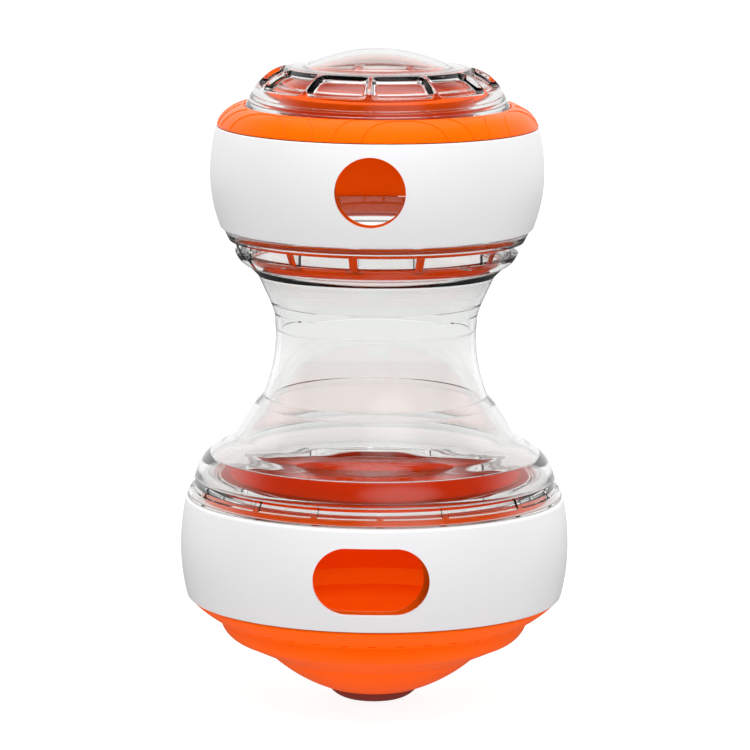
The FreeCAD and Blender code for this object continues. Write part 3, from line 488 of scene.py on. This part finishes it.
# Base bowl
_, LOWER_BAND_FOOT, LOWER_BAND_TOP = reach("lower_band")
CLEARANCE = 0.3
SHOULDER_RADIUS = 70.4
LOWER_DRUM = 66.0
LOWER_BORE = LOWER_DRUM - WALL
LOWER_SEAT = LOWER_BAND_FOOT - CLEARANCE
LOWER_EDGE = LOWER_SEAT - 0.8
LOWER_HEAD = LOWER_BAND_TOP + CLEARANCE
RIM_TOP = 82.4
RIM_RADIUS = LOWER_DRUM - 0.6
SLOT = (44.0, 25.8)
SLOT_MIDDLE = LOWER_BAND_FOOT + 19.8
FOOT_SOCKET = 9.2
LEDGE, LEDGE_RADIUS = 20.2, 42  # where the ballast's cover lies
HOLLOW_RADIUS = 38.8  # of the room for the ballast
HOLLOW_FOOT = 7.3
BOWL_TURN = -3.0
base_bowl = turned("orange_bowl_and_drum", [
    (FOOT_SOCKET, FOOT_TOP),
    (17.7, FOOT_TOP, 1.35),
    (40.4, 17.8),
    (52.8, 23.4, 1.45),
    (59.7, 31.5, 0.45),
    (SHOULDER_RADIUS, LOWER_EDGE),
    (SHOULDER_RADIUS, LOWER_SEAT),
    (LOWER_DRUM, LOWER_SEAT),
    (LOWER_DRUM, LOWER_HEAD),
    (RIM_RADIUS, LOWER_HEAD),
    (RIM_RADIUS, RIM_TOP),
    (LOWER_BORE, RIM_TOP),
    (LOWER_BORE, LOWER_EDGE - 1.1),
    (56.85, 32.9, -1.45),
    (51.85, 26.25),
    (LEDGE_RADIUS, LEDGE + 0.6),
    (LEDGE_RADIUS, LEDGE),
    (HOLLOW_RADIUS, LEDGE),
    (HOLLOW_RADIUS, LEDGE - 1, -1.35),
    (16.8, HOLLOW_FOOT),
    (FOOT_SOCKET, HOLLOW_FOOT)])

# Small notches round the shoulder, just over the bowl's step
NOTCHES = 36
NOTCH_RADIUS, NOTCH_HEIGHT = 61.5, 32.6
NOTCH_SIZE = (1.9, 0.6, 0.6)  # half of its length, depth and height
bpy.ops.mesh.primitive_uv_sphere_add(segments=24, ring_count=12, radius=1, location=(0, 0, 0))
notch = edited("shoulder_notches")
bpy.ops.transform.resize(value=[size * MM for size in NOTCH_SIZE])
bpy.ops.transform.rotate(value=math.radians(9), orient_axis="Y")
bpy.ops.transform.translate(value=(0, -NOTCH_RADIUS * MM, NOTCH_HEIGHT * MM))
bpy.ops.object.mode_set(mode="OBJECT")
cut(base_bowl, around(notch, [2.6 + 360 // NOTCHES * k for k in range(NOTCHES)]))
cut(base_bowl, through_front("slot_bar", *SLOT, SLOT_MIDDLE))
turn_by(base_bowl, BOWL_TURN)
finish_with(smooth(base_bowl), ORANGE_ABS)
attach(base_bowl, "base")
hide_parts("base_bowl")


# Bands
BAND_WALL = 2.4
BAND_LIP = 2.3  # thickness of the lips that turn in at a band's foot and top
CORNER_BOW = 0.28  # an arc over a band's corner rises by this share of the corner


def band(name, foot, top, crown, lip, radii, corners):
    """A barrel-shaped ring between foot and top, widest at its crown, whose lips reach in to the
    drum. The radii and corners are those at its foot, at its crown and at its top."""
    foot_radius, crown_radius, top_radius = radii
    foot_corner, top_corner = corners
    foot_edge = (foot_radius, foot + foot_corner)
    widest = (crown_radius, crown)
    top_edge = (top_radius, top - top_corner)
    inner_top = (top_radius - BAND_WALL, top - BAND_LIP)
    inner_widest = (crown_radius - BAND_WALL, crown)
    inner_foot = (foot_radius - BAND_WALL, foot + BAND_LIP)
    return turned(name, [
        (lip, foot),
        (foot_radius - foot_corner, foot, foot_corner * CORNER_BOW),
        (*foot_edge, rise_of_crown(foot_edge, widest)),
        (*widest, rise_of_crown(widest, top_edge)),
        (*top_edge, top_corner * CORNER_BOW),
        (top_radius - top_corner, top),
        (lip, top),
        (lip, top - BAND_LIP),
        (*inner_top, -rise_of_crown(inner_top, inner_widest)),
        (*inner_widest, -rise_of_crown(inner_widest, inner_foot)),
        inner_foot,
        (lip, foot + BAND_LIP)])


lower_band = band("white_lower_band", LOWER_BAND_FOOT, LOWER_BAND_TOP, LOWER_BAND_FOOT + 20.4,
                  LOWER_DRUM + CLEARANCE, (72.8, 75.05, 73.3), (2.0, 1.35))
cut(lower_band, through_front("slot_bar", *SLOT, SLOT_MIDDLE))
turn_by(lower_band, -0.9)
finish_with(smooth(lower_band), WHITE_ABS)
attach(lower_band, "lower_band_body")
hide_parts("lower_band")

_, UPPER_BAND_FOOT, UPPER_BAND_TOP = reach("upper_band")
UPPER_DRUM = 54.1
UPPER_TURN = -2.4
OUTLET = (26.8, 26.8)
OUTLET_MIDDLE = UPPER_BAND_FOOT + 21.1
upper_band = band("white_upper_band", UPPER_BAND_FOOT, UPPER_BAND_TOP, UPPER_BAND_FOOT + 21.4,
                  UPPER_DRUM + CLEARANCE, (60.6, 64.2, 62.0), (1.5, 0.6))
cut(upper_band, through_front("outlet_bar", *OUTLET, OUTLET_MIDDLE))
turn_by(upper_band, UPPER_TURN)
finish_with(smooth(upper_band), WHITE_ABS)
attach(upper_band, "upper_band_body")
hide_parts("upper_band")


# Neck: a skirt over the lower drum's rim, a shoulder, a cone with a ridge and a step, the waist,
# and a flared lap at the rim that the funnel is welded into
CLEAR_BORE = 36.5
NECK_TOP = 155.4
RIM_OUTSIDE = (40.7, NECK_TOP)
SPIGOT = 37.5
SPIGOT_TOP = 39.5
SPIGOT_FOOT = 145.3
RIM_FOOT = 151.2
LAP_GAP = 0.2
NECK_LAP = [
    RIM_OUTSIDE,
    (SPIGOT_TOP + LAP_GAP, NECK_TOP),
    (SPIGOT + 0.5 + LAP_GAP, RIM_FOOT),
    (SPIGOT + LAP_GAP, SPIGOT_FOOT - LAP_GAP),
    (CLEAR_BORE, SPIGOT_FOOT - LAP_GAP)]
SKIRT_HEIGHT = 7.8
SKIRT = 72.6
SKIRT_TOP = (69.3, LOWER_HEAD + SKIRT_HEIGHT)
bend = (64.7, 96.5)
inner_bend = (63.0, 95.1)
shoulder = (60.4, 99.6)
inner_shoulder = (59.1, 97.8)
cone = (53.2, 104.9)
inner_cone = (51.0, 103.8)
ridge = (46.3, 116.0)
inner_ridge = (44.1, 114.9)
step = (43.4, 119.2)
inner_step = (41.2, 118.5)
waist = (38.7, 142.0)
inner_waist = (CLEAR_BORE, 142.0)
rim = (39.2, RIM_FOOT)
PLUG, PLUG_BORE, PLUG_FOOT = 63.4, 61.2, 79.0  # the ring that enters the lower drum
WEB_TOP, WEB_FOOT = 86.3, 84.1  # the web between that ring and the skirt
neck = turned("clear_neck", [
    (SKIRT - WALL, LOWER_HEAD),
    (SKIRT, LOWER_HEAD),
    (*SKIRT_TOP, 0.75),
    bend,
    (*shoulder, -0.6),
    cone,
    ridge,
    (*step, -rise_of_crown(step, waist)),
    (*waist, -rise_of_crown(waist, rim)),
    rim,
    *NECK_LAP,
    (*inner_waist, rise_of_crown(inner_waist, inner_step)),
    inner_step,
    inner_ridge,
    (*inner_cone, 0.6),
    inner_shoulder,
    inner_bend,
    (67.7, WEB_TOP),
    (PLUG_BORE, WEB_TOP),
    (PLUG_BORE, PLUG_FOOT),
    (PLUG, PLUG_FOOT),
    (PLUG, WEB_FOOT),
    (68.7, WEB_FOOT)],
    soft=((cone, 1.6), (inner_cone, 1.6), (shoulder, 2.5), (inner_shoulder, 2.5), (bend, 0.7),
          (inner_bend, 0.5), (ridge, 0.35), (inner_ridge, 0.5), (step, 0.3), (inner_step, 0.3),
          (waist, 2.0), (rim, 0.35), (SKIRT_TOP, 1.0)))

# The ring of pockets in the neck's skirt: in every quarter a wide one and three narrow ones
POCKET_RISE = 3.0
POCKET_HEIGHT = 3.8
POCKET_DEPTH = 1.1
POCKET_FOOT = LOWER_HEAD + POCKET_RISE
POCKET_TOP = POCKET_FOOT + POCKET_HEIGHT
POCKET_OUT = SKIRT + 9
POCKET_FLARE = 0.35 * 6
SLANT = (SKIRT - SKIRT_TOP[0]) / SKIRT_HEIGHT
FLOOR = SKIRT - SLANT * POCKET_RISE - POCKET_DEPTH
pocket_outline = [
    (FLOOR, POCKET_FOOT + 0.15),
    (POCKET_OUT, POCKET_FOOT - POCKET_FLARE),
    (POCKET_OUT, POCKET_TOP + POCKET_FLARE),
    (FLOOR - SLANT * POCKET_HEIGHT, POCKET_TOP - 0.15)]
RIB = math.degrees(2.6 / SKIRT)
WIDE_PITCH = 28.8
NARROW_PITCH = (90 - WIDE_PITCH) / 3
FIRST_POCKET = 36.5
narrow_turns = [FIRST_POCKET + WIDE_PITCH / 2 + NARROW_PITCH * (n + 0.5) for n in range(3)]
pockets = [
    around(ring_cutter(name, pocket_outline, pitch - RIB),
           [turn + 90 * k for k in range(4) for turn in turns])
    for name, pitch, turns in (("wide_pocket", WIDE_PITCH, [FIRST_POCKET]),
                               ("narrow_pocket", NARROW_PITCH, narrow_turns))]
cut(neck, joined("neck_pockets", pockets))
finish_with(smooth(neck, 25), CLEAR)
weld_faces(neck, NECK_LAP)
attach(neck, "neck_body")
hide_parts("neck")


# Upper funnel: the other half of the lap, a cone, and a thick flange cored from both sides
FUNNEL_LAP = [
    (CLEAR_BORE, SPIGOT_FOOT),
    (SPIGOT, SPIGOT_FOOT),
    (SPIGOT + 0.5, RIM_FOOT),
    (SPIGOT_TOP, NECK_TOP),
    RIM_OUTSIDE]
FLANGE = 59.0
FLANGE_TOP = 184.0
SEAT, SEAT_RADIUS = 181.6, 56.2  # where the upper seal lies
COLLAR, COLLAR_BORE, COLLAR_TOP = 51.6, 49.4, 190.0
cone_top = (49.4, 169.8)
inner_cone_top = (43.5, 167.3)
inner_cone_foot = (38.5, 156.2)
inner_rim = (37.0, RIM_FOOT)
funnel = turned("clear_funnel", [
    *FUNNEL_LAP,
    (45.7, 166.2),
    (*cone_top, 0.5),
    (53.7, 173.4),
    (FLANGE, FLANGE_TOP),
    (SEAT_RADIUS, FLANGE_TOP),
    (SEAT_RADIUS, SEAT),
    (COLLAR, SEAT),
    (COLLAR, COLLAR_TOP),
    (COLLAR_BORE, COLLAR_TOP),
    (COLLAR_BORE, 172.0),
    inner_cone_top,
    inner_cone_foot,
    inner_rim],
    soft=((inner_cone_foot, 0.5), (inner_rim, 0.4), (inner_cone_top, 1.0), (cone_top, 0.8)))
WINDOW_IN, WINDOW_OUT = COLLAR + 0.1, 64
window_outline = [
    (WINDOW_IN, 175.5), (WINDOW_OUT, 174.6), (WINDOW_OUT, 180.4), (WINDOW_IN, 179.5)]
WINDOW_RIB = math.degrees(3.4 / FLANGE)
windows = [
    around(ring_cutter(name, window_outline, pitch - WINDOW_RIB),
           [turn + 120 * k for k in range(3) for turn in turns])
    for name, pitch, turns in (("wide_window", 34, (-52, 34)), ("narrow_window", 26, (-22, 4)))]
cut(funnel, joined("funnel_windows", windows))
finish_with(smooth(funnel, 25), CLEAR)
weld_faces(funnel, FUNNEL_LAP)
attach(funnel, "neck_body")
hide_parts("upper_funnel")


# Upper drum
DRUM_FOOT = 183.3
SHOULDER_FOOT = UPPER_BAND_TOP + CLEARANCE
RELIEF = SHOULDER_FOOT + 2.2
RELIEF_IN, RELIEF_OUT = 56.3, 58.9
DECK = 230.7
shoulder_foot = (61.8, SHOULDER_FOOT, 1.75)
shoulder_top = (51.4, 231.6)
FILLER, FILLER_BORE, FILLER_TOP = 41.5, 39.3, 235.0
upper_drum = turned("orange_upper_drum", [
    (UPPER_DRUM - WALL, DRUM_FOOT),
    (UPPER_DRUM, DRUM_FOOT),
    (UPPER_DRUM, SHOULDER_FOOT),
    (RELIEF_IN, SHOULDER_FOOT),
    (RELIEF_IN, RELIEF),
    (RELIEF_OUT, RELIEF),
    (RELIEF_OUT, SHOULDER_FOOT),
    shoulder_foot,
    shoulder_top,
    (shoulder_top[0], DECK),
    (FILLER, DECK),
    (FILLER, FILLER_TOP),
    (FILLER_BORE, FILLER_TOP),
    (FILLER_BORE, DECK - WALL),
    (49.7, DECK - WALL),
    (51.9, 226.3)])

# The ornament on its shoulder: six pairs of raised arches that stand on the band
shoulder_profile = traced([shoulder_foot, shoulder_top], closed=False)
ARCHES = 6
FIRST_ARCH = 12.4
ARCH_FOOT = 0.9  # along the shoulder, where the ornament starts over the band
ARCH_TOP = 12.4  # and where it ends under the lid's edge
ARCH_RISE = 0.32
ARCH_BAR = 0.45


def arch(name, half_width, height):
    """One raised arch of the ornament: a ring drawn to an ellipse, trimmed at the band and at the
    lid, and laid over the shoulder."""
    deselect()
    bpy.ops.mesh.primitive_torus_add(major_radius=half_width, minor_radius=ARCH_BAR,
                                     major_segments=96, minor_segments=10, location=(0, 0, 0))
    torus = edited(name)
    bpy.ops.transform.resize(value=(1, height / half_width, 1))
    bpy.ops.transform.translate(value=(0, 0, ARCH_RISE - ARCH_BAR))
    for place, outward in ((ARCH_FOOT, -1), (ARCH_TOP, 1)):
        select_all_points()
        bpy.ops.mesh.bisect(plane_co=(0, place, 0), plane_no=(0, outward, 0), clear_outer=True,
                            use_fill=True)
    return wrapped(faced_outward(torus), shoulder_profile, 0)


for kind, half_width, height in (("inner_arch", 16.8, 12.0), ("outer_arch", 28.4, 19.5)):
    arches = around(arch(kind, half_width, height),
                    [FIRST_ARCH + 360 // ARCHES * k for k in range(ARCHES)])
    cut(upper_drum, arches, "UNION")
cut(upper_drum, through_front("outlet_bar", *OUTLET, OUTLET_MIDDLE))
turn_by(upper_drum, UPPER_TURN)
finish_with(smooth(upper_drum), ORANGE_ABS)
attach(upper_drum, "upper_drum_body")
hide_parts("upper_drum")


# Lid
LID_FOOT = 231.0
LID_BORE, LID_ROOF = 41.8, 232.5
LID_STEP = 45.2
skirt_edge = (51.1, LID_FOOT)
grip = (48.1, 237.0)
ring = (34.0, 246.3)
inner_ring = (34.0, 244.1)
inner_skirt = (LID_BORE, 238.2)
dome = (27.6, 246.8)
inner_dome = (26.9, 244.6)
apex = (0, 253.2)
inner_apex = (0, 251.0)
lid = turned("clear_lid", [
    (*inner_apex, -rise_of_dome(inner_apex, inner_dome)),
    inner_dome,
    inner_ring,
    inner_skirt,
    (LID_BORE, LID_ROOF),
    (LID_STEP, LID_ROOF),
    (LID_STEP, LID_FOOT),
    skirt_edge,
    (*grip, 2.1),
    ring,
    (*dome, rise_of_dome(dome, apex)),
    apex],
    closed=False,
    soft=((grip, 1.6), (ring, 1.8), (dome, 1.2), (inner_dome, 1.2), (inner_ring, 1.2),
          (inner_skirt, 1.2)))

# The eleven grips round the lid, cored from outside over its ring
GRIPS = 11
FIRST_GRIP = -20.5
GRIP_MIDDLE = 15.8  # along the lid's outside from the skirt's lower edge
GRIP_FLOOR = (20.3, 10.4)
GRIP_CORNER = 1.9
GRIP_FLOOR_EDGE = 0.8
# Height above the lid's surface, then how far the block reaches past the floor on each side and
# at each end
GRIP_STEPS = (
    (-2.4, -0.8, -0.8), (-2.36, -0.45, -0.45), (-2.2, -0.1, -0.1), (-1.9, 0.1, 0.15),
    (-0.45, 0.95, 1.3), (-0.12, 1.25, 1.65), (0.0, 1.5, 2.0), (1.5, 1.75, 2.8))
GRIP_SLICES = (12, 8)  # a millimetre apart on each side of its middle, across and along it
lid_profile = traced([skirt_edge, (*grip, 2.1), ring, dome, (24, 248.5)], closed=False)
lid_profile = eased(eased(lid_profile, grip, 1.6), ring, 1.8)


def grip_block():
    """The block that cores one grip: a rounded plate drawn up in steps to a wide mouth with round
    edges, sliced finely enough to bend, and wrapped over the lid's ring."""
    deselect()
    bpy.ops.mesh.primitive_plane_add(size=1, location=(0, 0, 0))
    block = edited("grip_block")
    size = [whole - 2 * GRIP_FLOOR_EDGE for whole in GRIP_FLOOR]
    height = GRIP_STEPS[0][0]
    bpy.ops.transform.resize(value=(*size, 1))
    bpy.ops.mesh.bevel(offset=GRIP_CORNER, segments=6, affect="VERTICES")
    select_all_points()
    bpy.ops.transform.translate(value=(0, 0, height))
    for up, wide, far in GRIP_STEPS[1:]:
        wanted = [GRIP_FLOOR[0] + 2 * wide, GRIP_FLOOR[1] + 2 * far]
        bpy.ops.mesh.extrude_region_move(TRANSFORM_OT_translate={"value": (0, 0, up - height)})
        bpy.ops.transform.resize(value=(wanted[0] / size[0], wanted[1] / size[1], 1))
        size, height = wanted, up
    for place in range(1 - GRIP_SLICES[0], GRIP_SLICES[0]):
        for axis in (0, 1):
            if abs(place) < GRIP_SLICES[axis]:
                direction = (1 - axis, axis, 0)
                select_all_points()
                bpy.ops.mesh.bisect(plane_co=[place * part for part in direction],
                                    plane_no=direction)
    return wrapped(faced_outward(block), lid_profile, GRIP_MIDDLE)


cut(lid, around(grip_block(), [FIRST_GRIP + 360 / GRIPS * k for k in range(GRIPS)]))
finish_with(smooth(lid, 30), CLEAR)
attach(lid, "lid_body")
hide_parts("lid")


# The solids that stay as they are get their finish only
for name, made in (("ballast_weight", STEEL), ("cover_screws", STEEL),
                   ("ballast_cover", ORANGE_ABS), ("lower_seal", SILICONE),
                   ("upper_seal", SILICONE), ("lid_seal", SILICONE)):
    finish_with(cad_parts[name], made)


# Floor
bpy.ops.mesh.primitive_plane_add(size=9, location=(0, 0, 0))
floor = bpy.context.active_object
floor.name = "studio_floor"
acrylic, _, acrylic_shader, _ = material(
    "backlit_white_acrylic", Base_Color=linear("#8A8A8A"), Roughness=0.9)
acrylic_shader.inputs["Emission Color"].default_value = (1, 1, 1, 1)
acrylic_shader.inputs["Emission Strength"].default_value = 0.9
finish_with(floor, acrylic)
floor.visible_glossy = False

# The room: a white backdrop behind, softboxes overhead and over the camera, and dim for the rest
world = bpy.data.worlds.new("studio")
bpy.context.scene.world = world
world.use_nodes = True
sky = world.node_tree
background = sky.nodes["Background"]
background.inputs["Color"].default_value = (1, 1, 1, 1)
toward = node(sky, "TexCoord").outputs["Generated"]
parts = node(sky, "SeparateXYZ", {}, {"Vector": toward}).outputs


def nearness(direction):
    """How near a direction of view is to this one: 1 straight at it, 0 square to it."""
    measured = node(sky, "VectorMath", {"operation": "DOT_PRODUCT"}, {0: toward})
    measured.inputs[1].default_value = direction
    return measured.outputs["Value"]


def fading(value, start, stop, dim, bright):
    """Light that changes smoothly from dim to bright as a value goes from start to stop."""
    return node(sky, "MapRange", {"interpolation_type": "SMOOTHSTEP", "From Min": start,
                                  "From Max": stop, "To Min": dim, "To Max": bright},
                {"Value": value}).outputs[0]


def combined(operation, first, second):
    return node(sky, "Math", {"operation": operation}, {0: first, 1: second}).outputs[0]


backdrop = combined("MULTIPLY", fading(parts["Y"], -0.2, 0.4, 0.1, 1.1),
                    fading(parts["Z"], -0.25, -0.06, 0.1, 1))
backdrop = combined("MULTIPLY", backdrop, fading(parts["Z"], 0.45, 0.8, 1, 0.15))
overhead = fading(nearness((0, 0.26, 0.966)), 0.86, 0.96, 0, 2)
front_glow = fading(nearness((0.25, -0.69, 0.68)), 0.88, 1.0, 0, 0.8)
lit = combined("ADD", combined("ADD", backdrop, overhead), front_glow)
sky.links.new(lit, background.inputs["Strength"])

TARGET = Vector((-0.00023, 0, 0.1267))  # where the lamps and the camera point


def facing(place):
    """The rotation, as a quaternion, that points a lamp or camera at the target."""
    return (TARGET - Vector(place)).to_track_quat("-Z", "Y")


def softbox(name, place, width, height, power):
    """A soft lamp that lights the mouldings but isn't seen in or through them."""
    lamp = bpy.data.lights.new(name, "AREA")
    lamp.shape = "ELLIPSE"
    lamp.size = width
    lamp.size_y = height
    lamp.energy = power
    holder = bpy.data.objects.new(name, lamp)
    bpy.context.scene.collection.objects.link(holder)
    holder.location = place
    holder.rotation_euler = facing(place).to_euler()
    holder.visible_glossy = False
    holder.visible_transmission = False


softbox("key_softbox", (0.45, -1.6, 1.7), 1.2, 1.2, 4)
softbox("front_fill", (-0.3, -2.6, 1.3), 2.4, 1.6, 7)
softbox("top_fill", (0, -0.6, 1.9), 2.6, 1.4, 50)

# Camera
ELEVATION = math.radians(9.3)
DISTANCE = 2.033
ROLL = Matrix.Rotation(math.radians(0.45), 3, "Z")
lens = bpy.data.cameras.new("camera")
lens.sensor_width = 36
lens.lens = 252.6
lens.clip_start = 0.05
camera = bpy.data.objects.new("camera", lens)
bpy.context.scene.collection.objects.link(camera)
camera.location = TARGET + DISTANCE * Vector((0, -math.cos(ELEVATION), math.sin(ELEVATION)))
camera.rotation_euler = (facing(camera.location).to_matrix() @ ROLL).to_euler()
bpy.context.scene.camera = camera

BOUNCES = 24  # enough for light to leave the nested clear walls
bpy.context.scene.view_settings.view_transform = "Standard"
bpy.context.scene.cycles.max_bounces = BOUNCES
bpy.context.scene.cycles.transmission_bounces = BOUNCES
bpy.context.scene.cycles.transparent_max_bounces = BOUNCES
